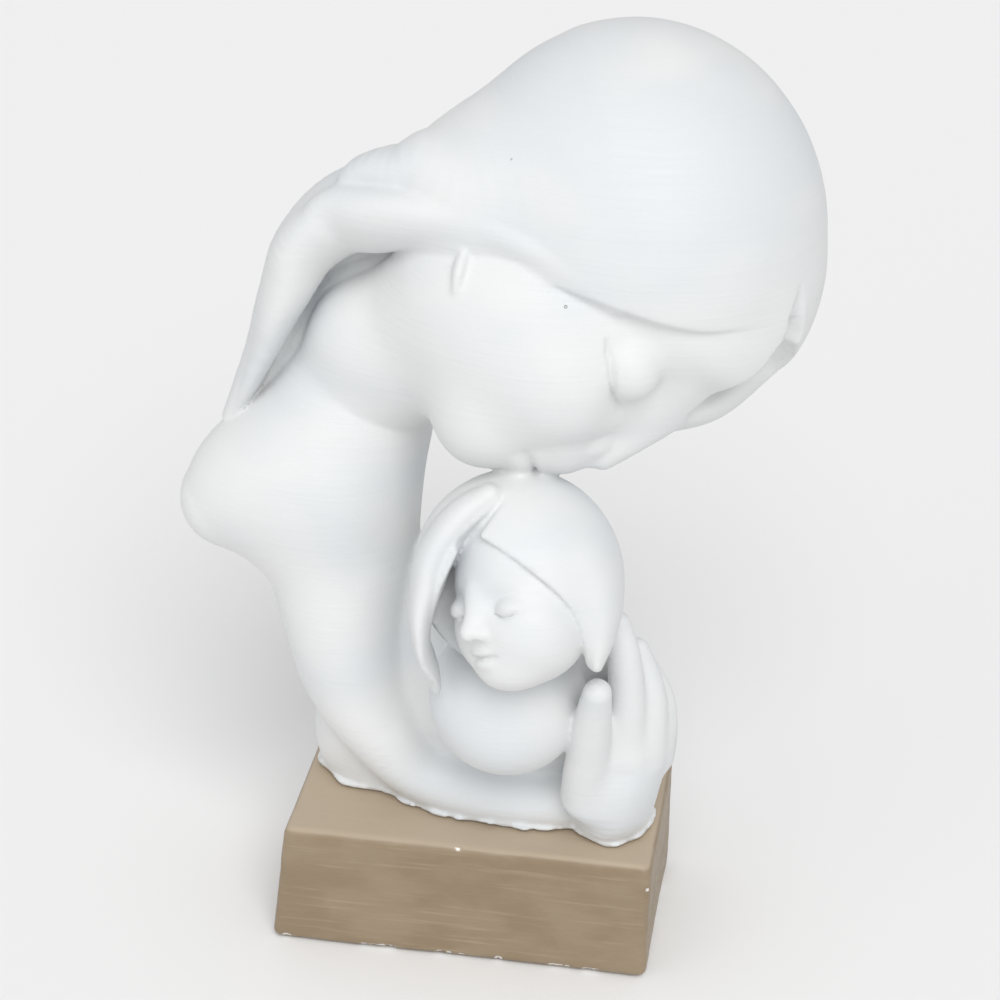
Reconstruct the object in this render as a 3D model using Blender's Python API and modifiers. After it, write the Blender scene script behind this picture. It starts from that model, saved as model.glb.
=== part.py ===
"""Mother and child statue: a white cast figure group standing on a tan painted block.

The figure is modelled like clay. Balls and limbs are laid over each other, each group of them is
fused by a voxel remesh and smoothed, and the groups are then fused into one skin.
Figure forms are in design units, of which FIGURE_HEIGHT holds DESIGN_HEIGHT: x runs to the
right, y to the back and z up from the figure's foot.
"""
import math

import bpy
import bmesh
from mathutils import Matrix, Vector

# Base block, in metres
BASE_WIDTH = 0.094
BASE_DEPTH = 0.055
BASE_HEIGHT = 0.034
BASE_LEFT_FLARE = 0.0037
BASE_EDGE_RADIUS = 0.0022

# Figure group, in metres
FIGURE_HEIGHT = 0.204
SEAM_GAP = 0.0003
GROUP_VOXEL = 0.0016
SKIN_VOXEL = 0.0013
FIGURE_TRIANGLES = 9000

# The figure's design units
DESIGN_HEIGHT = 204.0
UNIT = FIGURE_HEIGHT / DESIGN_HEIGHT

RING_SIDES = 28
STATIONS_PER_SPAN = 6


def clear_scene():
    for item in list(bpy.data.objects):
        bpy.data.objects.remove(item, do_unlink=True)


def make_collection(name):
    collection = bpy.data.collections.new(name)
    bpy.context.scene.collection.children.link(collection)
    return collection


def make_material(name, colour, roughness):
    material = bpy.data.materials.new(name)
    material.use_nodes = True
    shader = material.node_tree.nodes["Principled BSDF"]
    shader.inputs["Base Color"].default_value = (*colour, 1.0)
    shader.inputs["Roughness"].default_value = roughness
    shader.inputs["Metallic"].default_value = 0.0
    return material


def head_frame(centre, front, up):
    """Frame of a head: its axes are the face's front, the side nearer the viewer, and the crown."""
    front = Vector(front).normalized()
    up = Vector(up)
    up = (up - front * up.dot(front)).normalized()
    side = up.cross(front)
    if side.y > 0:
        side.negate()
    turn = Matrix((front, side, up)).transposed().to_4x4()
    return STATUE @ Matrix.Translation(centre) @ turn


STATUE = Matrix.Translation((0, 0, BASE_HEIGHT + SEAM_GAP)) @ Matrix.Scale(UNIT, 4)
MOTHER = head_frame((32.4, 10, 161.9), (0.37, -0.39, -0.826), (0.919, 0.282, 0.278))
MOTHER_SIDE = MOTHER.to_3x3().col[1].normalized()
CHILD = head_frame((16.3, -31.4, 80), (-0.66, -0.72, 0.2), (-0.12, 0.5, 0.85))
CHILD_HAIR = head_frame((10.8, -27.2, 80.5), (0.126, -0.874, 0.469), (-0.093, 0.461, 0.883))


class Clay:
    """Loose closed forms gathered in one mesh, in one frame."""

    def __init__(self, frame=STATUE):
        self.frame = frame
        self.mesh = bmesh.new()

    def ball(self, centre, radii):
        shape = Matrix.Translation(centre) @ Matrix.Diagonal((*radii, 1))
        bmesh.ops.create_uvsphere(
            self.mesh, u_segments=36, v_segments=24, radius=1, matrix=self.frame @ shape
        )

    def pair(self, centre, radii):
        for side in (1, -1):
            self.ball((centre[0], side * centre[1], centre[2]), radii)

    def slab(self, normal, distance, size=90.0):
        """A block that fills the space beyond a plane."""
        turn = Vector(normal).to_track_quat("X", "Z").to_matrix().to_4x4()
        shape = turn @ Matrix.Translation((distance + size / 2, 0, 0))
        bmesh.ops.create_cube(self.mesh, size=size, matrix=self.frame @ shape)

    def limb(self, stations, wide_axis=(0, 1, 0)):
        """A form lofted along a smooth path of (x, y, z, half thickness, half width)."""
        rows = smooth_rows([(*s, s[3]) if len(s) == 4 else s for s in stations])
        path = [Vector(row[:3]) for row in rows]
        rings = []
        for index, row in enumerate(rows):
            ahead = path[min(index + 1, len(path) - 1)] - path[max(index - 1, 0)]
            ahead.normalize()
            wide = Vector(wide_axis)
            wide = (wide - ahead * wide.dot(ahead)).normalized()
            thin = ahead.cross(wide)
            tip = min(row[3], row[4])
            turns = [0.0]
            if index == 0:
                turns = [-75, -50, -25, 0]
            if index == len(rows) - 1:
                turns = [0, 25, 50, 75]
            for turn in turns:
                lift = path[index] + ahead * tip * math.sin(math.radians(turn))
                shrink = math.cos(math.radians(turn))
                rings.append((lift, thin * row[3] * shrink, wide * row[4] * shrink))
        self.loft(rings)

    def loft(self, rings):
        loops = []
        for centre, thin, wide in rings:
            loop = []
            for step in range(RING_SIDES):
                angle = 2 * math.pi * step / RING_SIDES
                point = centre + thin * math.cos(angle) + wide * math.sin(angle)
                loop.append(self.mesh.verts.new(self.frame @ point))
            loops.append(loop)
        for low, high in zip(loops, loops[1:]):
            for step in range(RING_SIDES):
                after = (step + 1) % RING_SIDES
                self.mesh.faces.new((low[step], low[after], high[after], high[step]))
        self.mesh.faces.new(reversed(loops[0]))
        self.mesh.faces.new(loops[-1])

    def finish(self, name):
        bmesh.ops.recalc_face_normals(self.mesh, faces=self.mesh.faces)
        mesh = bpy.data.meshes.new(name)
        self.mesh.to_mesh(mesh)
        self.mesh.free()
        return mesh


def smooth_rows(rows):
    """Catmull-Rom rows through the given ones."""
    if len(rows) < 3:
        return rows
    first = [2 * a - b for a, b in zip(rows[0], rows[1])]
    last = [2 * a - b for a, b in zip(rows[-1], rows[-2])]
    knots = [first, *rows, last]
    smooth = []
    for span in range(len(rows) - 1):
        p0, p1, p2, p3 = knots[span : span + 4]
        for step in range(STATIONS_PER_SPAN):
            t = step / STATIONS_PER_SPAN
            smooth.append([
                0.5 * (2 * b + (c - a) * t + (2 * a - 5 * b + 4 * c - d) * t * t
                       + (3 * b - 3 * c + d - a) * t ** 3)
                for a, b, c, d in zip(p0, p1, p2, p3)
            ])
    smooth.append(list(rows[-1]))
    return smooth


def evaluated_mesh(item):
    """The object's mesh with its modifiers carried out; the object itself is removed."""
    graph = bpy.context.evaluated_depsgraph_get()
    mesh = bpy.data.meshes.new_from_object(item.evaluated_get(graph))
    bpy.data.objects.remove(item, do_unlink=True)
    return mesh


def carved(mesh, cutter_mesh):
    """A mesh with another one cut out of it."""
    body = bpy.data.objects.new("carving", mesh)
    tool = bpy.data.objects.new("carving_tool", cutter_mesh)
    for item in (body, tool):
        bpy.context.scene.collection.objects.link(item)
    cut = body.modifiers.new("Carve", "BOOLEAN")
    cut.operation = "DIFFERENCE"
    cut.object = tool
    result = evaluated_mesh(body)
    bpy.data.objects.remove(tool, do_unlink=True)
    return result


def fused(name, meshes, voxel, smoothing):
    """One skin around several meshes, softened where they meet."""
    gathered = bmesh.new()
    for mesh in meshes:
        gathered.from_mesh(mesh)
    joined = bpy.data.meshes.new(name)
    gathered.to_mesh(joined)
    gathered.free()
    item = bpy.data.objects.new(name, joined)
    bpy.context.scene.collection.objects.link(item)
    remesh = item.modifiers.new("Fuse", "REMESH")
    remesh.mode = "VOXEL"
    remesh.voxel_size = voxel
    soften = item.modifiers.new("Soften", "SMOOTH")
    soften.factor = 0.5
    soften.iterations = smoothing
    return evaluated_mesh(item)


def mother_body():
    """Neck, torso and the arm that sweeps down and round under the child."""
    clay = Clay()
    clay.limb([
        (-7, 4, 138, 21, 20), (-29, 6, 116, 19, 20), (-36.5, 4, 101, 21, 20), (-40.5, 2, 85, 22, 21),
        (-37, 2, 63, 19, 21), (-35, 1, 46, 17, 20), (-32, 0, 34, 15.5, 18), (-26, -2, 21, 12.5, 15),
        (-15, -4, 8, 10, 12), (5, -8, 4, 8.5, 9.5), (21, -8, 4, 8, 9),
    ])
    clay.limb([(-40, 2, 88, 18, 19), (-55, 1, 84, 18, 18), (-65, 0, 78.5, 13.5, 14)])
    clay.ball((-65, 0, 78), (13.5, 14, 13.5))
    clay.ball((-32, 1, 127), (12.5, 14, 12.5))
    clay.limb([(-23, 8, -5, 15, 13), (-30, 9, 7, 16, 16), (-32, 9, 21, 14, 16), (-32, 8, 37, 11, 14)])
    clay.limb([(-24, 10, 0, 14, 14), (0, 8, 2, 16, 20), (26, 6, 2, 14, 16)])
    clay.ball((0, 1, 42), (27, 14, 38))
    clay.ball((15, -3, 44), (18, 14, 33))
    return clay.finish("body")


def mother_face():
    clay = Clay(MOTHER)
    clay.ball((5, 0, 0), (38, 27, 36))
    clay.ball((19, 0, -9), (32, 27, 31))
    clay.ball((18.5, 0, -33), (32, 28, 30))
    clay.pair((30, 11, -32), (18, 14, 16))
    clay.ball((33, 0, -46), (17, 17, 16))
    return clay.finish("face")


def mother_features():
    """Nose, closed lids, lips and the lobes of the ears."""
    clay = Clay(MOTHER)
    clay.limb([(44, 0, 0, 5), (49, 0, -10, 4.5), (52.5, 0, -20, 4.2), (54, 0, -25.5, 4.2)])
    clay.ball((46, 0, -33.5), (10, 12, 9))
    clay.pair((49, 5, -26.8), (5, 3.8, 4.2))
    clay.pair((35.3, 18.3, -14.5), (8.8, 8, 7.6))
    clay.ball((48.6, 0, -39.2), (5.6, 9.2, 3.5))
    clay.ball((47.6, 0, -44.6), (6, 8.2, 3.9))
    for side in (1, -1):
        clay.limb([(1, side * 21, -42, 2.2, 4), (5, side * 23, -45.5, 2.2, 4), (9, side * 23, -47.6, 1.8, 2.6)])
    return clay.finish("features")


def mother_parting():
    """The opening between the two locks over the brow."""
    clay = Clay(MOTHER)
    clay.limb([
        (31.6, 17.2, 27.6, 2, 1), (37, 14.9, 26, 4, 2), (41.3, 12, 23.5, 5, 3.5), (45, 9.8, 20.5, 6, 5.4),
        (48, 5.8, 17, 6.5, 8.8), (50.3, 2.5, 11, 6.5, 11.5), (51.8, 2, 4, 4.6, 10.5), (52, 2, -3, 1.5, 8),
    ])
    return clay.finish("parting")


def mother_hair():
    """Cap and parted fringe, with the long fall behind the neck and its rolled side band."""
    cap = Clay(MOTHER)
    cap.ball((3, 0, -0.5), (47.3, 39.4, 44))
    cap_front = Clay(MOTHER)
    cap_front.slab((1, 0, 0), 36.5)
    cap_below = Clay(MOTHER)
    cap_below.slab((0.83, 0, -0.56), 29.2)
    cap_side = Clay(MOTHER)
    cap_side.slab((0.767, 0, -0.641), 28.6)
    cap_mesh = carved(cap.finish("cap"), cap_front.finish("cap_front"))
    cap_mesh = carved(cap_mesh, cap_below.finish("cap_below"))
    cap_mesh = carved(cap_mesh, cap_side.finish("cap_side"))

    fringe = Clay(MOTHER)
    fringe.ball((11, 0, 3), (41.5, 31.7, 37.5))
    brow_line = Clay(MOTHER)
    brow_line.slab((0.75, 0, -0.66), 34.5)
    fringe_mesh = carved(fringe.finish("fringe"), brow_line.finish("brow_line"))
    fringe_mesh = carved(fringe_mesh, mother_parting())
    far_lock = Clay(MOTHER)
    far_lock.limb([
        (30, -9, 29, 3.2, 6), (41, -10, 20.5, 4.2, 7), (46.6, -11, 12, 4.2, 8), (50, -10, 2.5, 4.2, 8),
        (50.6, -7, -8, 3.2, 7), (49.3, -4, -18, 2.6, 6), (46.5, -3, -26, 2, 5),
    ])

    fall = Clay()
    fall.limb([
        (24.6, 10.7, 165.3, 35.5, 35.5), (-0.4, 4.5, 160.6, 25, 29.5), (-12.8, 8, 161, 12.8, 28.5),
        (-25.6, 13, 158.3, 10.2, 27.5), (-37.3, 13, 152.1, 10.6, 25.5), (-47.9, 12, 142.4, 7.3, 22.5),
        (-54.3, 10, 129.1, 5.6, 17.5), (-59.3, 8, 114.7, 4.4, 12.5), (-65.7, 6, 99.7, 2.8, 7),
    ], wide_axis=MOTHER_SIDE)
    fall.limb([(-22, 11, 141, 12), (-36, 10.5, 131, 11.5), (-46, 9.5, 119.5, 9), (-55, 8, 107, 6),
               (-62, 6, 98.5, 3.5)])
    fall.limb([
        (32.3, -28.1, 150.6, 2, 4), (22.3, -25.2, 155.5, 3, 6), (10.2, -21.2, 159.8, 4.2, 7.5),
        (-3.2, -16.1, 162.2, 5.4, 9), (-16.1, -13.6, 162.9, 6.8, 10.5), (-26, -9.8, 161, 7.5, 12),
        (-36, -4, 156.6, 7.8, 13.5), (-45.5, -2, 148.2, 8, 13.5), (-51.8, -1, 133.6, 6.4, 12.5),
        (-57.2, 1, 118.8, 4.3, 9.5), (-65, 4, 100, 2.5, 5),
    ], wide_axis=(0.3, -0.75, 0.6))
    return [cap_mesh, fringe_mesh, far_lock.finish("far_lock"), fall.finish("fall")]


def child_face():
    clay = Clay(CHILD)
    clay.ball((2, 0, 3), (16, 16, 18.5))
    clay.ball((4, 0, -4), (16.5, 16, 19))
    clay.pair((8.5, 7, -11), (9.8, 9.3, 8.8))
    clay.ball((12.3, 0, -18), (6.8, 7, 6))
    return clay.finish("child_face")


def child_brow():
    clay = Clay(CHILD_HAIR)
    clay.ball((4, 2, 3), (18.8, 12, 13))
    return clay.finish("child_brow")


def child_features():
    clay = Clay(CHILD)
    clay.limb([(18.6, 0, 1, 2.3), (20.3, 0, -4.5, 2.2), (22, 0, -8.6, 2.6)])
    clay.pair((20.2, 2.2, -9.3), (2.3, 2, 2))
    clay.pair((15, 8.4, -4), (4.4, 4.6, 3.8))
    clay.ball((17.8, 0, -13.7), (3, 4.6, 1.9))
    clay.ball((17.2, 0, -16.4), (3, 3.9, 2))
    return clay.finish("child_features")


def space_before_child(planes):
    """The space at the front of the child's hair that lies beyond all the given planes."""
    front = Clay(CHILD_HAIR)
    front.slab((1, 0, 0), -6)
    mesh = front.finish("front")
    for normal, distance in planes:
        behind = Clay(CHILD_HAIR)
        behind.slab([-value for value in normal], -distance)
        mesh = carved(mesh, behind.finish("behind"))
    return mesh


def child_opening():
    """The face's opening in the child's hair: bounded by the near hair's edge, then the far lock's."""
    return space_before_child([
        ((0, 0.525, -0.851), -2.8), ((0, 0.701, -0.713), -4.1), ((0, 0.902, -0.431), -8.8),
        ((0, 0.971, -0.24), -12.6), ((0, -0.906, -0.424), -14.6), ((0, -1, 0), -21.3),
    ])


def child_parting():
    clay = Clay(CHILD_HAIR)
    clay.limb([(17.5, 3.2, 17.5, 0.6, 1.2), (19.5, 5.5, 14.8, 0.9, 2), (20, 9, 10.8, 1.4, 3.4),
               (19, 12.3, 7, 2.2, 6)], wide_axis=(1, 0, 0))
    return clay.finish("child_parting")


def child_hair():
    """A cap open over the face, fuller on the near side, with a lock hanging down on each side."""
    crown = Clay(CHILD_HAIR)
    crown.ball((0, 0, 0), (25.1, 25.1, 25.1))
    near_side = Clay(CHILD_HAIR)
    near_side.ball((5, -7, -3), (18.3, 17.8, 20.3))
    crown_mesh = carved(crown.finish("child_crown"), child_opening())
    crown_mesh = carved(crown_mesh, child_parting())
    near_mesh = carved(near_side.finish("child_near_side"), child_opening())

    locks = Clay(CHILD_HAIR)
    locks.limb([(12, -19.4, -9, 3.8, 7), (11, -19.6, -15.5, 3.2, 6), (9.5, -18.7, -21.5, 2.2, 4.5)],
               wide_axis=(1, 0, 0))
    locks.limb([
        (12.5, 6.5, 18, 3.3, 6), (13, 12.4, 13.7, 4.3, 7.5), (11.5, 17.2, 8, 4.4, 8.5),
        (10, 20, 2.5, 4.4, 9), (8.5, 21.4, -3.5, 3.9, 9), (6, 22.6, -9.5, 3, 9.5),
        (1, 22.6, -16, 2.5, 9.5), (-9, 21, -22, 2.4, 9),
    ], wide_axis=(1, 0, 0))
    return [crown_mesh, near_mesh, locks.finish("child_locks")]


def swaddled_child():
    clay = Clay()
    clay.ball((8.8, -22, 42.6), (19.2, 19.2, 19.7))
    return clay.finish("swaddle")


def cradling_hand():
    clay = Clay()
    clay.limb([(33.2, -3.4, -0.6, 10.8, 12.4), (35.5, -8.4, 12.8, 11.1, 16.4), (39, -10, 26.2, 9.2, 16),
               (38.5, -13, 40, 6, 11)])
    thumb = [(29, -20, 15, 6.4), (30, -27, 33, 5.6), (31.5, -33, 48, 4.5), (32.2, -36, 54.5, 3.7)]
    index = [(38, -21, 30, 5.2), (38, -23, 44.5, 4.8), (37.1, -23, 57, 4.3), (34.8, -22, 66, 3.6)]
    middle = [(42.3, -16, 26, 5.2), (43.1, -17, 37.8, 4.8), (42.3, -17, 47, 4.2), (39.2, -16, 55.5, 3.5)]
    ring = [(44.5, -10, 22.5, 5), (45.4, -11, 32.8, 4.6), (44.7, -11, 40, 4.1), (41.8, -10, 46.5, 3.4)]
    little = [(44.5, -4, 18.5, 4.8), (45.6, -5, 25.8, 4.2), (45.3, -4, 30.6, 3.7), (42.8, -3, 34.5, 3.1)]
    for digit in (thumb, index, middle, ring, little):
        clay.limb(digit)
    return clay.finish("hand")


def make_figure(collection, cutters, material):
    body = fused("mother", [mother_body(), mother_face()], GROUP_VOXEL, smoothing=8)
    body = carved(body, mother_parting())
    hair = fused("hair", mother_hair(), GROUP_VOXEL, smoothing=4)
    child = fused("child", [child_face(), child_brow(), swaddled_child()], GROUP_VOXEL, smoothing=2)
    parts = [body, hair, child, mother_features(), child_features(), *child_hair(), cradling_hand()]
    mesh = fused("mother_and_child", parts, SKIN_VOXEL, smoothing=3)
    figure = bpy.data.objects.new("mother_and_child", mesh)
    collection.objects.link(figure)
    mesh.materials.append(material)

    triangles = sum(len(face.vertices) - 2 for face in mesh.polygons)
    thin = figure.modifiers.new("Thin out", "DECIMATE")
    thin.ratio = FIGURE_TRIANGLES / triangles

    block = bmesh.new()
    bmesh.ops.create_cube(block, size=FIGURE_HEIGHT, matrix=Matrix.Translation((0, 0, -FIGURE_HEIGHT / 2)))
    block_mesh = bpy.data.meshes.new("foot_trim")
    block.to_mesh(block_mesh)
    block.free()
    trim = bpy.data.objects.new("foot_trim", block_mesh)
    trim.location.z = BASE_HEIGHT + SEAM_GAP
    trim.hide_render = True
    trim.display_type = "WIRE"
    cutters.objects.link(trim)
    flatten = figure.modifiers.new("Flat foot", "BOOLEAN")
    flatten.operation = "DIFFERENCE"
    flatten.object = trim
    return figure


def make_base(collection, material):
    block = bmesh.new()
    size = Matrix.Diagonal((BASE_WIDTH, BASE_DEPTH, BASE_HEIGHT, 1))
    bmesh.ops.create_cube(block, size=1, matrix=Matrix.Translation((0, 0, BASE_HEIGHT / 2)) @ size)
    for corner in block.verts:
        if corner.co.x < 0 and corner.co.z < BASE_HEIGHT / 2:
            corner.co.x -= BASE_LEFT_FLARE
    mesh = bpy.data.meshes.new("base_block")
    block.to_mesh(mesh)
    block.free()
    base = bpy.data.objects.new("base_block", mesh)
    collection.objects.link(base)
    mesh.materials.append(material)
    edges = base.modifiers.new("Rounded edges", "BEVEL")
    edges.width = BASE_EDGE_RADIUS
    edges.segments = 4
    mesh.shade_smooth()
    mesh.set_sharp_from_angle(angle=math.radians(40))
    return base


def main():
    clear_scene()
    statue = make_collection("mother_and_child_statue")
    cutters = make_collection("cutters")
    plaster = make_material("white_plaster", (0.82, 0.83, 0.83), 0.7)
    paint = make_material("tan_paint", (0.33, 0.25, 0.16), 0.5)
    make_figure(statue, cutters, plaster)
    make_base(statue, paint)


main()
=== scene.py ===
import math

import bpy
import numpy as np
from mathutils import Matrix, Vector


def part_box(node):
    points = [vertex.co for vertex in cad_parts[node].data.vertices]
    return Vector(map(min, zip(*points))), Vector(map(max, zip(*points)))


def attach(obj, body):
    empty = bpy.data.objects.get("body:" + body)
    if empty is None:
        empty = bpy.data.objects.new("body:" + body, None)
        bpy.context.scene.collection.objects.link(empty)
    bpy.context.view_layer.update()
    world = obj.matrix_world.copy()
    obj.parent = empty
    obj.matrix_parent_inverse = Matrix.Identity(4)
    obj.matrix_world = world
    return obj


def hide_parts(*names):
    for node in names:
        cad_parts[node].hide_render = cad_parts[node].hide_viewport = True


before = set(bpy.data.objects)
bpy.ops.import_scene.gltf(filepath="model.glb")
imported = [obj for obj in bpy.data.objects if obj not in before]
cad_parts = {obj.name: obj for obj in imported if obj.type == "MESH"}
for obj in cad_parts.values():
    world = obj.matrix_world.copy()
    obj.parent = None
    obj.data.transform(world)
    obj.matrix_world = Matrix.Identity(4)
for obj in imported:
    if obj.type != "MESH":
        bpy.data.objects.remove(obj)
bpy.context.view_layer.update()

# Camera, as the photograph was taken: lengths in metres, angles in degrees
CAMERA_TARGET = Vector((0.0024, 0.0, 0.1193))
CAMERA_DISTANCE = 0.7372
CAMERA_AZIMUTH = 8.2
CAMERA_ELEVATION = 28.0
CAMERA_ROLL = 1.5
CAMERA_LENS = 108.0
SENSOR_WIDTH = 36.0

# Lights: each one's place in metres, the angle of its disc in degrees, and its strength
LIGHTS = (((0.25, -0.8, 1.0), 35, 1.6), ((-0.6, -0.8, 0.5), 50, 0.3))
SKY_STRENGTH = 0.6
FLOOR_SIZE = 3.0
FLOOR_LEVEL = -0.0004

# Figure: forms are in design units from the centre of its foot, as in the solids
DESIGN_HEIGHT = 204.0
FOOT, CROWN = (corner.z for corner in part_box("mother_and_child"))
UNIT = (CROWN - FOOT) / DESIGN_HEIGHT
FIGURE_LOW = (-88.0, -60.0, -4.0)
FIGURE_HIGH = (88.0, 60.0, 214.0)
GRID_STEP = 0.8
FIGURE_TRIANGLES = 190000
FIELD_BATCH = 400000

STROKE_DEPTH = 0.07
STROKE_SIZE = (26.0, 26.0, 2.6)
UNEVENNESS = 0.12
GAPS_UNDER_FOOT = ((4.0, -17.5, 4.0), (27.0, -19.0, 5.0))

# Base block in millimetres, from its solid
MILLIMETRE = 0.001
BASE_LOW, BASE_HIGH = (np.array(corner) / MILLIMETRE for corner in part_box("base_block"))
BASE_FLARE = -BASE_LOW[0] - BASE_HIGH[0]
BASE_GRID_STEP = 0.6
BASE_EDGE_SOFTNESS = 2.4
BASE_MARGIN = 2.0
CHIP_SEED = 7

# Whole numbers that scramble a grid corner into its noise value
CORNER_FACTORS = (73856093, 19349663, 83492791)
SCRAMBLE_FACTOR = 1274126177


def unit(vector):
    vector = np.asarray(vector, float)
    return vector / np.linalg.norm(vector)


# Distance fields: each takes points and gives how far they lie outside a form, negative inside

def ball(points, centre, radii):
    radii = np.asarray(radii, np.float32)
    offset = points - np.asarray(centre, np.float32)
    near = np.sqrt(((offset / radii) ** 2).sum(1)) + 1e-6
    slope = np.sqrt(((offset / radii ** 2) ** 2).sum(1)) + 1e-9
    return near * (near - 1) / slope


def beyond(points, normal, distance):
    """Negative on this side of a plane."""
    return points @ unit(normal).astype(np.float32) - distance


def smooth_rows(rows, steps):
    """Catmull-Rom rows through the given ones."""
    rows = np.asarray(rows, float)
    knots = np.vstack([2 * rows[0] - rows[1], rows, 2 * rows[-1] - rows[-2]])
    smooth = []
    for at in np.linspace(0, len(rows) - 1, steps + 1):
        span = min(int(at), len(rows) - 2)
        t = at - span
        a, b, c, d = knots[span : span + 4]
        smooth.append(0.5 * (2 * b + (c - a) * t + (2 * a - 5 * b + 4 * c - d) * t * t
                             + (3 * b - 3 * c + d - a) * t ** 3))
    return np.array(smooth)


def limb(points, stations, wide_axis=None, steps=12, reach=14.0):
    """A form along a smooth path of (x, y, z, half thickness, half width)."""
    rows = [(*s, s[3]) if len(s) == 4 else s for s in stations]
    rows = smooth_rows(rows, steps * 2)
    path, sizes = rows[:, :3], np.maximum(rows[:, 3:], 0.15)
    margin = sizes.max() + reach
    inside = ((points > path.min(0) - margin) & (points < path.max(0) + margin)).all(1)
    field = np.full(len(points), reach, np.float32)
    near = points[inside]
    if not len(near):
        return field
    best = np.full(len(near), reach, np.float32)
    if wide_axis is not None:
        ahead = np.gradient(path, axis=0)
        ahead /= np.linalg.norm(ahead, axis=1)[:, None]
        wide = np.asarray(wide_axis, float) - (ahead @ np.asarray(wide_axis, float))[:, None] * ahead
        wide = (wide / np.linalg.norm(wide, axis=1)[:, None]).astype(np.float32)
    for index in range(len(path) - 1):
        step = path[index + 1] - path[index]
        offset = near - path[index].astype(np.float32)
        t = np.clip(offset @ step.astype(np.float32) / (step @ step + 1e-9), 0, 1).astype(np.float32)
        offset -= t[:, None] * step.astype(np.float32)
        thin, broad = (sizes[index] + (sizes[index + 1] - sizes[index]) * t[:, None]).T.astype(np.float32)
        square = (offset * offset).sum(1)
        if wide_axis is None:
            gap = np.sqrt(square) - thin
        else:
            across = offset @ wide[index] * (1 - t) + offset @ wide[index + 1] * t
            square = np.maximum(square - across * across, 0)
            near_size = np.sqrt(square / thin ** 2 + (across / broad) ** 2) + 1e-6
            slope = np.sqrt(square / thin ** 4 + (across / broad ** 2) ** 2) + 1e-9
            gap = near_size * (near_size - 1) / slope
        best = np.minimum(best, gap)
    field[inside] = best
    return field


def join(a, b, soft):
    mix = np.maximum(soft - np.abs(a - b), 0) / soft
    return np.minimum(a, b) - mix * mix * soft / 4


def both(a, b, soft):
    return -join(-a, -b, soft)


def cut(a, b, soft):
    return both(a, -b, soft)


def lumps(points, size):
    """Smooth noise between -1 and 1, with lumps of about the given size along each axis."""
    scaled = points / np.asarray(size, np.float32)
    corner = np.floor(scaled).astype(np.int64)
    t = (scaled - corner).astype(np.float32)
    t = t * t * (3 - 2 * t)
    total = np.zeros(len(points), np.float32)
    for i in (0, 1):
        for j in (0, 1):
            for k in (0, 1):
                x, y, z = ((corner + (i, j, k)) * CORNER_FACTORS).T
                mixed = x ^ y ^ z
                mixed = (mixed ^ (mixed >> 13)) * SCRAMBLE_FACTOR
                value = ((mixed ^ (mixed >> 16)) & 0xFFFF).astype(np.float32) / 32767.5 - 1
                weight = np.abs(1 - i - t[:, 0]) * np.abs(1 - j - t[:, 1]) * np.abs(1 - k - t[:, 2])
                total += value * weight
    return total


class Head:
    """A head's own axes: its face's front, the side nearer the viewer, and its crown."""

    def __init__(self, centre, front, up):
        front = unit(front)
        up = unit(np.asarray(up, float) - front * (front @ np.asarray(up, float)))
        side = np.cross(up, front)
        if side[1] > 0:
            side = -side
        self.centre = np.asarray(centre, float)
        self.axes = np.array([front, side, up])

    def local(self, points):
        return ((points - self.centre) @ self.axes.T).astype(np.float32)

    def mirrored(self, points):
        own = self.local(points)
        own[:, 1] = np.abs(own[:, 1])
        return own

    def place(self, front, side, up, *sizes):
        return (*(self.centre + np.array((front, side, up)) @ self.axes), *sizes)


MOTHER = Head((32.4, 10, 161.9), (0.37, -0.39, -0.826), (0.919, 0.282, 0.278))
CHILD = Head((16.3, -31.4, 80), (-0.66, -0.72, 0.2), (-0.12, 0.5, 0.85))
CHILD_HAIR = Head((10.8, -27.2, 80.5), (0.126, -0.874, 0.469), (-0.093, 0.461, 0.883))
ACROSS_MOTHER = MOTHER.axes[1]


def crease(form, own, height, bow, centre, radii, half_width, depth):
    """A fine line sunk in the skin along a bowed level of a head's own height, inside a ball."""
    level = own[:, 2] - height - bow * (own[:, 1] - centre[1]) ** 2
    across = np.clip(1 - (level / half_width) ** 2, 0, 1)
    along = np.clip(-ball(own, centre, radii) / 1.5, 0, 1)
    return form + depth * across ** 2 * along


def mother_head(points):
    own = MOTHER.mirrored(points)
    form = ball(own, (5, 0, 0), (38, 27, 36))
    form = join(form, ball(own, (19, 0, -9), (32, 27, 31)), 8)
    form = join(form, ball(own, (18.5, 0, -33), (31.5, 28, 29)), 12)
    form = join(form, ball(own, (38, 0, -50), (11, 13, 11)), 10)
    form = join(form, ball(own, (31, 13, -31), (17, 13, 14)), 8)
    form = cut(form, ball(own, (50, 22, -13), (8.5, 9, 8)), 8)
    return form


def mother_features(form, points):
    """Nose, closed lids and lips, laid on the head."""
    own = MOTHER.mirrored(points)
    nose = limb(own, [(44, 0, 0, 4.5), (49, 0, -10, 4.1), (52.5, 0, -20, 3.8), (53.8, 0, -25.5, 3.8)])
    form = join(form, nose, 7)
    form = join(form, ball(own, (46, 0, -33.5), (10, 12, 9)), 3)
    form = join(form, ball(own, (49, 5.2, -26.8), (4.6, 3.2, 3.8)), 2.2)
    form = cut(form, ball(own, (51, 3.1, -30.4), (3.2, 1.6, 1.6)), 1.2)
    form = join(form, ball(own, (35.8, 18.3, -14.5), (8.6, 8, 7.6)), 2.0)
    form = crease(form, own, -20.2, 0.035, (36, 19.4, -18), (14, 9, 9), 1.1, 0.9)
    form = join(form, ball(own, (48.3, 0, -39.2), (5.3, 8.6, 2.9)), 2.2)
    form = join(form, ball(own, (47.3, 0, -44.6), (5.5, 7.6, 3.3)), 2.2)
    return crease(form, own, -41.9, -0.01, (50, 0, -42), (9, 12, 5), 1.0, 0.35)


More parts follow.
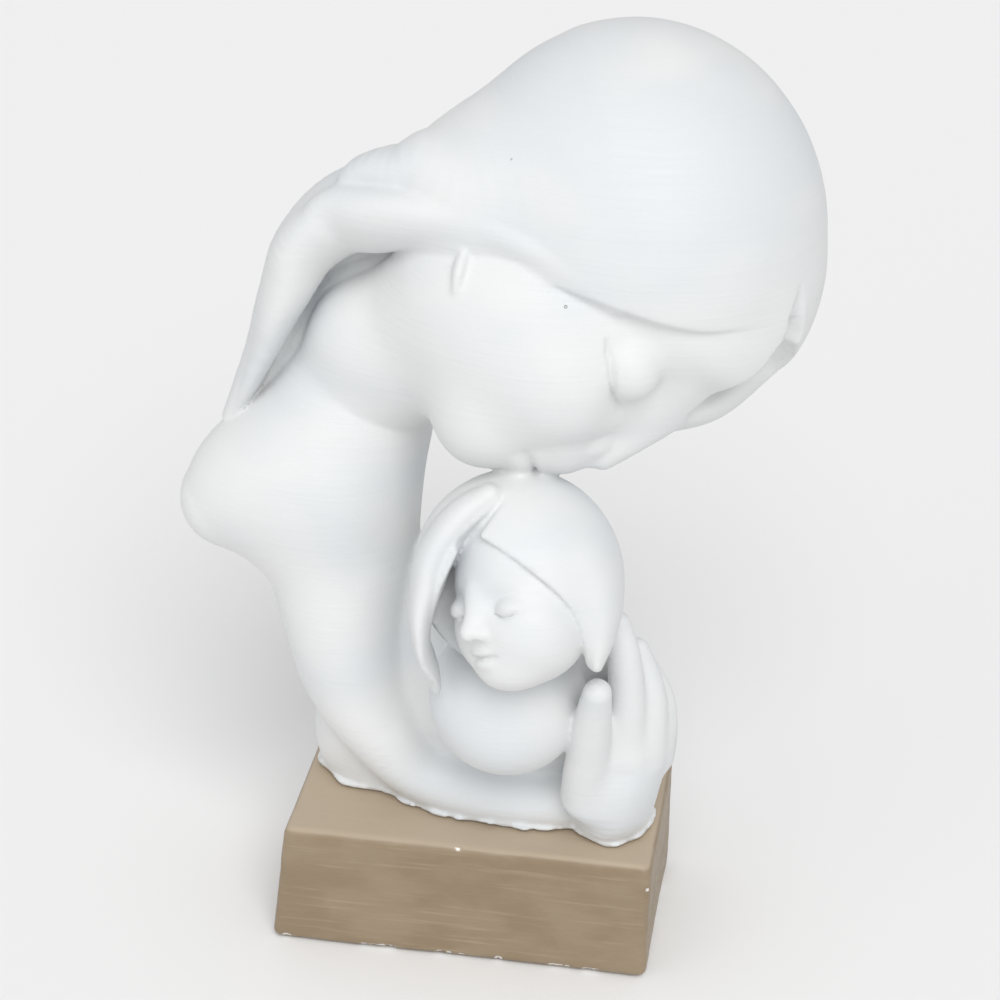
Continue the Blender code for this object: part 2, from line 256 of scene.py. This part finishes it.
def ear_lobes(points):
    own = MOTHER.mirrored(points)
    return limb(own, [(1, 20.5, -43.2, 1.6, 3.2), (5, 22.5, -45.7, 1.6, 3), (9, 22.5, -47.6, 1.1, 1.8)],
                (0, 1, 0))


def mother_fringe(form, points):
    """Hair over the brow, laid on the head and open between its two locks from the parting down."""
    own = MOTHER.mirrored(points)
    fringe = ball(own, (11, 0, 3), (41.3, 31.5, 37.3))
    fringe = both(fringe, beyond(own, (0.75, 0, -0.66), 36), 9)
    form = join(form, fringe, 1.8)
    own = MOTHER.local(points)
    opening = [
        (31.6, 17.2, 27.6, 2, 0.5), (37, 14.9, 26, 4, 2), (41.3, 12, 23.5, 5, 3), (45, 9.8, 20.5, 6, 4.9),
        (48, 5.8, 17, 6.5, 8.8), (50.3, 2.5, 11, 6.5, 11.5), (51.8, 2, 4, 4.6, 10.5), (52, 2, -3, 1.5, 8)]
    form = cut(form, limb(own, opening, (0, 1, 0), steps=20), 0.7)
    far_lock = [
        (30, -9, 29, 3, 6), (41, -10, 20.5, 4, 7), (46.6, -11, 12, 4, 8), (50, -10, 2.5, 4, 8),
        (50.6, -7, -8, 3, 7), (49.3, -4, -18, 2.4, 6), (46.5, -3, -26, 1.5, 5)]
    return join(form, limb(own, far_lock, (0, 1, 0), steps=16), 1.5)


def mother_cap(points):
    own = MOTHER.mirrored(points)
    cap = ball(own, (3, 0, -0.5), (46.5, 38.5, 43))
    ledge = both(beyond(own, (1, 0, 0), 36.5), beyond(own, (0.83, 0, -0.56), 29.2), 9)
    ledge = both(ledge, beyond(own, (0.767, 0, -0.641), 28.6), 5)
    return both(cap, ledge, 0.7)


def hair_fall(points):
    """Hair behind the neck, from the back of the head down to the shoulder."""
    stations = [
        MOTHER.place(-6, 0, -6, 35, 35), MOTHER.place(-9, 0, -32, 24.5, 29), (-12.8, 8, 161, 12.2, 28),
        (-25.6, 13, 158.3, 9.5, 27), (-37.3, 13, 152.1, 10, 25), (-47.9, 12, 142.4, 6.8, 22),
        (-54.3, 10, 129.1, 5, 17), (-59.3, 8, 114.7, 3.8, 12), (-65.7, 6, 99.7, 2.2, 7)]
    fall = limb(points, stations, ACROSS_MOTHER, steps=24)
    nape = limb(points, [(-22, 11, 141, 12), (-36, 10.5, 131, 11), (-46, 9.5, 119.5, 8.5),
                         (-55, 8, 107, 5.5), (-62, 6, 98.5, 3)])
    return join(fall, nape, 3)


def side_band(points):
    """The rolled lock from the temple over the ear and down to the shoulder."""
    stations = [
        MOTHER.place(24.5, 28, -14, 1, 3.5), MOTHER.place(15.5, 26.5, -21, 2.6, 5.5),
        MOTHER.place(5.8, 23.5, -29.8, 3.7, 7), MOTHER.place(-3.3, 18.5, -40, 5, 8.5),
        MOTHER.place(-9.7, 15, -50.9, 6.4, 10), MOTHER.place(-13.3, 9.5, -59.5, 7.2, 11.5),
        (-36, -4, 156.6, 7.4, 13), (-45.5, -2, 148.2, 7.6, 13), (-51.8, -1, 133.6, 5.8, 12),
        (-57.2, 1, 118.8, 3.7, 9), (-64.7, 4, 100.3, 1.8, 5)]
    return limb(points, stations, (0.3, -0.75, 0.6), steps=32)


def torso(points):
    """Neck, torso and the arm that sweeps round under the child."""
    trunk = limb(points, [
        MOTHER.place(10, 0, -44, 20, 20), (-28.9, 6, 115.6, 19, 20), (-36.5, 4, 100.6, 20.5, 20),
        (-40.6, 2, 85.4, 22, 21), (-36.9, 2, 63, 19, 21), (-34.9, 1, 46.4, 16.5, 20),
        (-32.1, 0, 34, 15, 18), (-25.9, -2, 20.9, 12, 15), (-14.7, -4, 8.3, 9, 11),
        (5.5, -8, 4.3, 7.5, 8.5), (21, -8, 4.7, 7, 8)], (0, 1, 0), steps=32)
    shoulder = limb(points, [(-40.6, 2, 88, 18, 19), (-55.6, 1, 84.3, 18, 18), (-65.2, 0, 79, 12.7, 13.3)],
                    (0, 1, 0))
    nape_side = ball(points, (-32, 1, 127), (12, 14, 12))
    return join(join(trunk, shoulder, 12), nape_side, 8)


def skirt(points):
    return limb(points, [(-23.4, 8, -5, 14, 12), (-30.3, 9, 7.4, 15, 15), (-31.7, 9, 21, 13, 16),
                         (-31.6, 8, 36.8, 10, 14)], (0, 1, 0))


def lap(points):
    return limb(points, [(-24, 10, 0, 14, 14), (0, 8, 2, 16, 20), (26, 6, 2, 14, 16)], (0, 1, 0))


def back(points):
    form = ball(points, (0, 1, 42), (27, 14, 38))
    return join(form, ball(points, (15, -3, 44), (18, 14, 33)), 8)


def child_head(points):
    own = CHILD.mirrored(points)
    form = ball(own, (2, 0, 3), (16, 16, 18.5))
    form = join(form, ball(own, (4, 0, -4), (16.5, 16, 19)), 5)
    form = join(form, ball(own, (7.9, 6.4, -10.6), (9.4, 9.1, 8.7)), 6)
    form = join(form, ball(own, (11.4, 0, -17.6), (6.4, 6.6, 5.6)), 5)
    form = cut(form, ball(own, (21.6, 9, -2.6), (4.5, 5.5, 4)), 3)
    form = join(form, ball(own, (15, 8.4, -4), (4.1, 4.4, 3.4)), 1)
    form = join(form, ball(CHILD_HAIR.local(points), (4, 2, 3), (18.8, 11.8, 13)), 3)
    lash_line = limb(own, [(17.8, 4.9, -5, 0.35), (18.3, 8.4, -6.1, 0.55), (17, 12, -5.2, 0.35)])
    form = cut(form, lash_line, 0.5)
    form = join(form, limb(own, [(18.6, 0, 1, 1.9), (20.3, 0, -4.5, 1.8), (22, 0, -8.6, 2.2)]), 2.6)
    form = join(form, ball(own, (20.2, 2.3, -9.3), (1.9, 1.7, 1.6)), 1.1)
    form = cut(form, ball(own, (21.4, 1.5, -10.9), (1.3, 0.8, 0.8)), 0.5)
    form = join(form, ball(own, (17.7, 0, -13.8), (2.6, 4.3, 1.4)), 1)
    form = join(form, ball(own, (17.2, 0, -16.4), (2.6, 3.7, 1.6)), 1)
    return crease(form, own, -15, 0.008, (19, 0, -15), (5, 5.4, 3), 0.9, 0.7)


def child_cap(points):
    """Hair fuller on the near side, open over the face and parted from the far lock."""
    own = CHILD_HAIR.local(points)
    cap = join(ball(own, (0, 0, 0), (24.8, 24.8, 24.8)), ball(own, (5, -7, -3), (18, 17.5, 20)), 4)
    near_edge = both(-beyond(own, (0, 0.525, -0.851), -2.8), -beyond(own, (0, 0.701, -0.713), -4.1), 4)
    near_edge = both(near_edge, -beyond(own, (0, 0.902, -0.431), -8.8), 4)
    near_edge = both(near_edge, -beyond(own, (0, 0.971, -0.24), -12.6), 4)
    far_edge = both(-beyond(own, (0, -0.906, -0.424), -14.6), -beyond(own, (0, -1, 0), -21.3), 4)
    opening = both(both(near_edge, far_edge, 1), beyond(own, (-1, 0, 0), 6), 1)
    parting = limb(own, [(17.5, 3.2, 17.5, 0.4, 1), (19.5, 5.5, 14.8, 0.8, 2), (20, 9, 10.8, 1.3, 3.4),
                         (19, 12.3, 7, 2.1, 6)], (1, 0, 0))
    return cut(cap, join(opening, parting, 0.6), 0.8)


def child_locks(points):
    """The far lock from the crown down to the swaddling, and the tip of the near one by the thumb."""
    own = CHILD_HAIR.local(points)
    near = limb(own, [(11, -15.5, 2, 5, 8), (11, -18.6, -7, 4.8, 8), (10.5, -19.3, -15, 3.3, 6.5),
                      (9.5, -18.7, -21.5, 1.6, 4.5)], (1, 0, 0))
    stations = [
        (12.5, 6.5, 18, 3, 6), (13, 12.4, 13.7, 4.1, 7.5), (11.5, 17.2, 8, 4.3, 8.5),
        (10, 20, 2.5, 4.3, 9), (8.5, 21.4, -3.5, 3.7, 9), (6, 22.6, -9.5, 2.7, 9.5),
        (1, 22.6, -16, 2.1, 9.5), (-9, 21, -22, 2, 9)]
    return limb(own, stations, (1, 0, 0), steps=24), near


def swaddling(points):
    return ball(points, (8.8, -22, 42.6), (19.2, 19.2, 19.5))


def hand(points):
    palm = limb(points, [(33.2, -3.4, -0.3, 10.5, 12), (35.5, -8.4, 12.8, 10.8, 16),
                         (39, -10, 26.2, 9, 16), (38.5, -13, 40, 6, 11)], (0, 1, 0))
    thumb = [(28.9, -20, 15, 6.4), (29.9, -27, 32.9, 5.4), (31.4, -33, 47.7, 4.2), (32.2, -36, 54.7, 3.4)]
    index = [(38, -21, 30, 5.2), (38, -23, 44.5, 4.7), (37.1, -23, 57, 4.1), (34.8, -22, 66, 3.3)]
    middle = [(42.3, -16, 26, 5.2), (43.1, -17, 37.8, 4.7), (42.3, -17, 47, 4.1), (39.2, -16, 55.5, 3.3)]
    ring = [(44.5, -10, 22.5, 5), (45.4, -11, 32.8, 4.5), (44.7, -11, 40, 4), (41.8, -10, 46.5, 3.2)]
    little = [(44.5, -4, 18.5, 4.8), (45.6, -5, 25.8, 4.1), (45.3, -4, 30.6, 3.6), (42.8, -3, 34.5, 2.9)]
    form = join(palm, limb(points, thumb), 5)
    for digit in (index, middle, ring, little):
        form = join(form, limb(points, digit), 2.4)
    return form


def foot_rim(form, points):
    """The ragged lip of plaster that spreads on the block around the foot, and the gaps under it."""
    spread = 0.9 + 0.9 * lumps(points, (4.5, 4.5, 40))
    thickness = 1.1 + 0.4 * lumps(points, (3, 3, 40))
    lip = both(form - spread, points[:, 2] - thickness, 0.5)
    form = join(form, lip, 0.6)
    for x, y, length in GAPS_UNDER_FOOT:
        form = cut(form, ball(points, (x, y, 0), (length, 2.2, 0.8)), 0.3)
    return form


def figure(points):
    """The whole casting: mother, child, hair and hand as one skin."""
    mother = mother_features(join(torso(points), mother_head(points), 7), points)
    mother = join(mother, skirt(points), 1.5)
    mother = mother_fringe(mother, points)
    mother = join(mother, ear_lobes(points), 1.0)
    hair = join(mother_cap(points), hair_fall(points), 4)
    hair = join(hair, side_band(points), 1.4)
    hair += STROKE_DEPTH * lumps(points, STROKE_SIZE)
    form = join(mother, hair, 0.8)
    form = join(form, lap(points), 6)
    form = join(form, back(points), 3)
    child = join(child_head(points), swaddling(points), 0.8)
    far_lock, near_lock = child_locks(points)
    child = join(child, join(child_cap(points), near_lock, 5), 0.6)
    child = join(child, far_lock, 1.2)
    form = join(form, child, 2.6)
    form = join(form, hand(points), 1.0)
    form += UNEVENNESS * lumps(points, (11, 11, 11))
    return np.maximum(foot_rim(form, points), -points[:, 2])


# Skin of a field: a grid, refined only near the surface, and one face across each of its edges

def sampled(field, low, high, step, coarse=4):
    cells = np.ceil((np.asarray(high) - low) / step / coarse).astype(int) * coarse + 1
    axes = [low[k] + step * np.arange(cells[k]) for k in range(3)]
    rough = np.stack(np.meshgrid(*[axis[::coarse] for axis in axes], indexing="ij"), -1)
    values = field(rough.reshape(-1, 3).astype(np.float32)).reshape(rough.shape[:3])
    for k in range(3):
        values = np.moveaxis(values, k, 0)
        finer = np.empty((cells[k],) + values.shape[1:], np.float32)
        finer[::coarse] = values
        for between in range(1, coarse):
            t = between / coarse
            finer[between::coarse] = values[:-1] * (1 - t) + values[1:] * t
        values = np.moveaxis(finer, 0, k)
    values = np.ascontiguousarray(values)
    near = np.nonzero(np.abs(values) < step * coarse * 1.05)
    places = np.stack([axes[k][near[k]] for k in range(3)], -1).astype(np.float32)
    values[near] = np.concatenate([field(places[i : i + FIELD_BATCH])
                                   for i in range(0, len(places), FIELD_BATCH)])
    return values


def skinned(values, low, step):
    solid = values < 0
    corners = [(i, j, k) for i in (0, 1) for j in (0, 1) for k in (0, 1)]
    size = np.array(values.shape) - 1
    count = sum(solid[i : size[0] + i, j : size[1] + j, k : size[2] + k].astype(np.int8)
                for i, j, k in corners)
    crossed = (count > 0) & (count < 8)
    cells = np.argwhere(crossed)
    number = np.full(crossed.shape, -1, np.int64)
    number[crossed] = np.arange(len(cells))
    corner_value = {c: values[cells[:, 0] + c[0], cells[:, 1] + c[1], cells[:, 2] + c[2]] for c in corners}
    total = np.zeros((len(cells), 3))
    edges = np.zeros(len(cells))
    for axis in range(3):
        for start in (c for c in corners if c[axis] == 0):
            end = tuple(1 if k == axis else start[k] for k in range(3))
            a, b = corner_value[start], corner_value[end]
            hit = (a < 0) != (b < 0)
            point = np.tile(np.array(start, float), (hit.sum(), 1))
            point[:, axis] = a[hit] / (a[hit] - b[hit])
            total[hit] += point
            edges[hit] += 1
    vertices = np.asarray(low) + step * (cells + total / edges[:, None])
    faces = []
    for axis in range(3):
        one, two = (axis + 1) % 3, (axis + 2) % 3
        ahead = [slice(None)] * 3
        behind = [slice(None)] * 3
        ahead[axis], behind[axis] = slice(1, None), slice(0, -1)
        edge = np.argwhere(solid[tuple(behind)] != solid[tuple(ahead)])
        ends_solid = solid[edge[:, 0], edge[:, 1], edge[:, 2]]
        ring = []
        for back_one, back_two in ((1, 1), (0, 1), (0, 0), (1, 0)):
            cell = edge.copy()
            cell[:, one] -= back_one
            cell[:, two] -= back_two
            ring.append(number[cell[:, 0], cell[:, 1], cell[:, 2]])
        ring = np.stack(ring, 1)
        ring[~ends_solid] = ring[~ends_solid][:, ::-1]
        faces.append(ring)
    return vertices, np.vstack(faces)


def settled(field, vertices, reach=0.15):
    """Vertices moved the last bit onto the surface."""
    vertices = vertices.astype(np.float32)
    slope = []
    for axis in range(3):
        nudge = np.zeros(3, np.float32)
        nudge[axis] = reach
        slope.append((field(vertices + nudge) - field(vertices - nudge)) / (2 * reach))
    slope = np.stack(slope, 1)
    steepness = np.maximum((slope ** 2).sum(1), 0.05)
    move = np.clip(field(vertices) / steepness, -0.6, 0.6)
    return vertices - move[:, None] * slope * 0.8


def mesh_object(name, vertices, faces):
    mesh = bpy.data.meshes.new(name)
    mesh.from_pydata(vertices, [], faces)
    mesh.validate()
    mesh.update()
    mesh.shade_smooth()
    item = bpy.data.objects.new(name, mesh)
    bpy.context.scene.collection.objects.link(item)
    return item


def carry_out_modifiers(item):
    """Put the result of the object's modifiers into its mesh."""
    graph = bpy.context.evaluated_depsgraph_get()
    mesh = bpy.data.meshes.new_from_object(item.evaluated_get(graph))
    old = item.data
    item.modifiers.clear()
    item.data = mesh
    bpy.data.meshes.remove(old)


def make_figure():
    values = sampled(figure, FIGURE_LOW, FIGURE_HIGH, GRID_STEP)
    vertices, faces = skinned(values, FIGURE_LOW, GRID_STEP)
    vertices = settled(figure, vertices)
    vertices[:, 2] = np.maximum(vertices[:, 2], 0)
    placed = vertices * UNIT + np.array((0, 0, FOOT))
    item = mesh_object("plaster_group", placed.tolist(), faces.tolist())
    triangles = 2 * len(faces)
    if triangles > FIGURE_TRIANGLES:
        thin = item.modifiers.new("Thin out", "DECIMATE")
        thin.ratio = FIGURE_TRIANGLES / triangles
        carry_out_modifiers(item)
        item.data.shade_smooth()
    return item


# Materials

def new_material(name):
    material = bpy.data.materials.new(name)
    material.use_nodes = True
    return material, material.node_tree, material.node_tree.nodes["Principled BSDF"]


def add_node(tree, kind, **settings):
    node = tree.nodes.new(kind)
    for key, value in settings.items():
        if key in node.inputs:
            node.inputs[key].default_value = value
        else:
            setattr(node, key, value)
    return node


def stretched_noise(tree, size, detail=3.0, roughness=0.5):
    """Noise in the object's own place, with features of the given size in metres along each axis."""
    place = add_node(tree, "ShaderNodeTexCoord")
    stretch = add_node(tree, "ShaderNodeMapping")
    stretch.inputs["Scale"].default_value = [1 / length for length in size]
    tree.links.new(place.outputs["Object"], stretch.inputs["Vector"])
    noise = add_node(tree, "ShaderNodeTexNoise", Scale=1.0, Detail=detail, Roughness=roughness)
    tree.links.new(stretch.outputs["Vector"], noise.inputs["Vector"])
    return noise.outputs["Fac"]


def ranged(tree, value, low, high, to_low=0.0, to_high=1.0):
    node = add_node(tree, "ShaderNodeMapRange", interpolation_type="SMOOTHSTEP")
    for name, number in zip(("From Min", "From Max", "To Min", "To Max"), (low, high, to_low, to_high)):
        node.inputs[name].default_value = number
    tree.links.new(value, node.inputs["Value"])
    return node.outputs["Result"]


def multiplied(tree, one, two):
    node = add_node(tree, "ShaderNodeMath", operation="MULTIPLY")
    tree.links.new(one, node.inputs[0])
    tree.links.new(two, node.inputs[1])
    return node.outputs[0]


def mixed_colour(tree, factor, one, two):
    """One colour turning into another; each is three numbers or a socket."""
    node = add_node(tree, "ShaderNodeMix", data_type="RGBA")
    tree.links.new(factor, node.inputs["Factor"])
    for colour, socket in ((one, node.inputs[6]), (two, node.inputs[7])):
        if isinstance(colour, tuple):
            socket.default_value = (*colour, 1)
        else:
            tree.links.new(colour, socket)
    return node.outputs[2]


def add_bump(tree, height, distance, strength, under=None):
    node = add_node(tree, "ShaderNodeBump", Strength=strength, Distance=distance)
    tree.links.new(height, node.inputs["Height"])
    if under is not None:
        tree.links.new(under, node.inputs["Normal"])
    return node.outputs["Normal"]


def pits(tree, spacing, radius):
    """Small round casting pits, one here and there, as 1 in the pit and 0 elsewhere."""
    place = add_node(tree, "ShaderNodeTexCoord")
    cells = add_node(tree, "ShaderNodeTexVoronoi", Scale=1 / spacing, Randomness=1.0)
    tree.links.new(place.outputs["Object"], cells.inputs["Vector"])
    hole = ranged(tree, cells.outputs["Distance"], radius / spacing * 0.5, radius / spacing, 1.0, 0.0)
    chosen = ranged(tree, cells.outputs["Color"], 0.62, 0.66)
    return multiplied(tree, hole, chosen)


def plaster_material():
    material, tree, shader = new_material("white_plaster_brushed")
    tone = ranged(tree, stretched_noise(tree, (0.05, 0.05, 0.03), detail=2.0), 0.35, 0.65)
    colour = mixed_colour(tree, tone, (0.70, 0.725, 0.745), (0.76, 0.767, 0.765))
    strokes = stretched_noise(tree, (0.022, 0.022, 0.0011), detail=4.0, roughness=0.6)
    grain = stretched_noise(tree, (0.0009, 0.0009, 0.0009), detail=2.0)
    pits_with_painted_shade = pits(tree, 0.014, 0.0005)
    # Pits are darkened in colour: painted shade in their hollows, on top of the dent bump below.
    colour = mixed_colour(tree, pits_with_painted_shade, colour, (0.55, 0.57, 0.58))
    tree.links.new(colour, shader.inputs["Base Color"])
    tree.links.new(ranged(tree, strokes, 0.3, 0.7, 0.5, 0.68), shader.inputs["Roughness"])
    normal = add_bump(tree, strokes, 0.00022, 0.55)
    normal = add_bump(tree, grain, 0.00006, 0.5, normal)
    dents = ranged(tree, pits_with_painted_shade, 0.0, 1.0, 1.0, 0.0)
    normal = add_bump(tree, dents, 0.0004, 1.0, normal)
    tree.links.new(normal, shader.inputs["Normal"])
    return material


def paint_material():
    material, tree, shader = new_material("tan_paint_worn_top_lit")
    mottle = ranged(tree, stretched_noise(tree, (0.016, 0.016, 0.008), detail=3.0), 0.35, 0.65)
    strokes = stretched_noise(tree, (0.03, 0.004, 0.0012), detail=4.0, roughness=0.6)
    colour = mixed_colour(tree, mottle, (0.26, 0.192, 0.12), (0.30, 0.228, 0.148))
    streaks = ranged(tree, strokes, 0.52, 0.74, 0.0, 0.45)
    colour = mixed_colour(tree, streaks, colour, (0.43, 0.345, 0.24))
    # Surfaces that face up are made lighter in colour: painted light on the block's top, as if lit from
    # above.
    facing = add_node(tree, "ShaderNodeSeparateXYZ")
    tree.links.new(add_node(tree, "ShaderNodeNewGeometry").outputs["Normal"], facing.inputs[0])
    lit_top_painted = ranged(tree, facing.outputs["Z"], 0.5, 0.95, 0.0, 0.85)
    colour = mixed_colour(tree, lit_top_painted, colour, (0.50, 0.41, 0.305))
    wear = add_node(tree, "ShaderNodeAttribute", attribute_name="wear").outputs["Fac"]
    speckle = ranged(tree, stretched_noise(tree, (0.0012, 0.0012, 0.0012), detail=3.0), 0.42, 0.6, 0.35, 1.0)
    rubbed = multiplied(tree, ranged(tree, wear, 0.0, 0.5), speckle)
    colour = mixed_colour(tree, rubbed, colour, (0.52, 0.43, 0.33))
    bare = ranged(tree, wear, 0.6, 0.8)
    colour = mixed_colour(tree, bare, colour, (0.8, 0.79, 0.76))
    tree.links.new(colour, shader.inputs["Base Color"])
    tree.links.new(ranged(tree, strokes, 0.3, 0.7, 0.36, 0.55), shader.inputs["Roughness"])
    normal = add_bump(tree, strokes, 0.0003, 0.5)
    normal = add_bump(tree, mottle, 0.0003, 0.3, normal)
    tree.links.new(normal, shader.inputs["Normal"])
    return material


def block_chips():
    """Small chips knocked out of the block's edges, as (centre, radius)."""
    random = np.random.default_rng(CHIP_SEED)
    left, front, bottom = BASE_LOW
    right, back_face, top = BASE_HIGH
    edges = [
        ((left, front, bottom), (right, front, bottom), 15), ((right, front, 0), (right, front, top), 1),
        ((left, back_face, bottom), (right, back_face, bottom), 8),
        ((right, front, bottom), (right, back_face, bottom), 5),
        ((left, front, bottom), (left, back_face, bottom), 5),
        ((-right, front, top), (right, front, top), 1),
        ((-right, back_face, top), (right, back_face, top), 2)]
    chips = []
    for start, end, count in edges:
        for at in random.uniform(0.03, 0.97, count):
            centre = np.array(start) + (np.array(end) - start) * at
            inward = np.sign(np.array((0, 0, top / 2)) - centre)
            chips.append((centre + inward * random.uniform(0.5, 1.0, 3), random.uniform(0.4, 0.9)))
    return chips


CHIPS = block_chips()


def block_faces(points):
    """Distances outside the block's right, left, front, back, top and bottom faces."""
    x, y, z = points.T
    tilt = BASE_FLARE / BASE_HIGH[2]
    left = (-x - BASE_HIGH[0] - tilt * (BASE_HIGH[2] - z)) / math.hypot(1, tilt)
    return x - BASE_HIGH[0], left, BASE_LOW[1] - y, y - BASE_HIGH[1], z - BASE_HIGH[2], -z


def block_form(points):
    right, left, front, back_face, top, bottom = block_faces(points)
    worn = 0.22 * lumps(points, (24, 24, 14)) + 0.1 * lumps(points, (7, 7, 5)) + 0.25
    sides = both(both(right, left, 2) + worn, both(front, back_face, 2) + worn, BASE_EDGE_SOFTNESS)
    form = both(sides, both(top + 0.15 + 0.15 * lumps(points, 9), bottom, 2), BASE_EDGE_SOFTNESS)
    for centre, radius in CHIPS:
        form = cut(form, ball(points, centre, (radius * 1.5, radius * 1.2, radius)), 0.3)
    return form


def block_wear(points):
    """How far the paint is gone: half along the edges in patches, whole in the chips."""
    gaps = np.sort(np.abs(np.stack(block_faces(points), 1)), 1)
    edge = np.clip(1 - (gaps[:, 0] + gaps[:, 1]) / 2.2, 0, 1) ** 1.5
    wear = 0.55 * edge * np.clip(0.45 + 0.9 * lumps(points, (9, 9, 6)), 0, 1)
    for centre, radius in CHIPS:
        inside = np.linalg.norm((points - centre) / (1.5, 1.2, 1), axis=1) < radius * 1.15
        wear = np.where(inside, 1.0, wear)
    return wear


def make_base():
    low, high = BASE_LOW - BASE_MARGIN, BASE_HIGH + BASE_MARGIN
    vertices, faces = skinned(sampled(block_form, low, high, BASE_GRID_STEP), low, BASE_GRID_STEP)
    vertices = settled(block_form, vertices)
    vertices[:, 2] = np.clip(vertices[:, 2], BASE_LOW[2], BASE_HIGH[2])
    item = mesh_object("painted_block", (vertices * MILLIMETRE).tolist(), faces.tolist())
    wear = item.data.attributes.new("wear", "FLOAT", "POINT")
    wear.data.foreach_set("value", block_wear(vertices).astype(np.float32))
    return item


def make_floor():
    bpy.ops.mesh.primitive_plane_add(size=FLOOR_SIZE, location=(0, 0, FLOOR_LEVEL))
    floor = bpy.context.object
    floor.name = "floor"
    material, _, shader = new_material("floor_pale")
    shader.inputs["Base Color"].default_value = (0.87, 0.87, 0.87, 1)
    shader.inputs["Roughness"].default_value = 0.9
    floor.data.materials.append(material)


def add_light(place, angle, strength):
    light = bpy.data.lights.new("studio_light", "SUN")
    light.angle = math.radians(angle)
    light.energy = strength
    item = bpy.data.objects.new("studio_light", light)
    item.location = place
    item.rotation_euler = (CAMERA_TARGET - Vector(place)).to_track_quat("-Z", "Y").to_euler()
    bpy.context.scene.collection.objects.link(item)


def make_lights():
    world = bpy.data.worlds.new("studio")
    bpy.context.scene.world = world
    world.use_nodes = True
    background = world.node_tree.nodes["Background"]
    background.inputs["Color"].default_value = (1, 1, 1, 1)
    background.inputs["Strength"].default_value = SKY_STRENGTH
    for place, angle, strength in LIGHTS:
        add_light(place, angle, strength)


def make_camera():
    azimuth, elevation = math.radians(CAMERA_AZIMUTH), math.radians(CAMERA_ELEVATION)
    back = Vector((math.sin(azimuth) * math.cos(elevation), -math.cos(azimuth) * math.cos(elevation),
                   math.sin(elevation)))
    turn = (-back).to_track_quat("-Z", "Y").to_matrix()
    turn = turn @ Matrix.Rotation(math.radians(CAMERA_ROLL), 3, "Z")
    camera = bpy.data.cameras.new("camera")
    camera.lens = CAMERA_LENS
    camera.sensor_width = SENSOR_WIDTH
    item = bpy.data.objects.new("camera", camera)
    item.matrix_world = Matrix.Translation(CAMERA_TARGET + back * CAMERA_DISTANCE) @ turn.to_4x4()
    bpy.context.scene.collection.objects.link(item)
    bpy.context.scene.camera = item


make_camera()
make_lights()
make_floor()
bpy.context.scene.view_settings.view_transform = "Standard"

group = make_figure()
group.data.materials.append(plaster_material())
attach(group, "root")
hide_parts("mother_and_child")

block = make_base()
block.data.materials.append(paint_material())
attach(block, "root")
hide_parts("base_block")
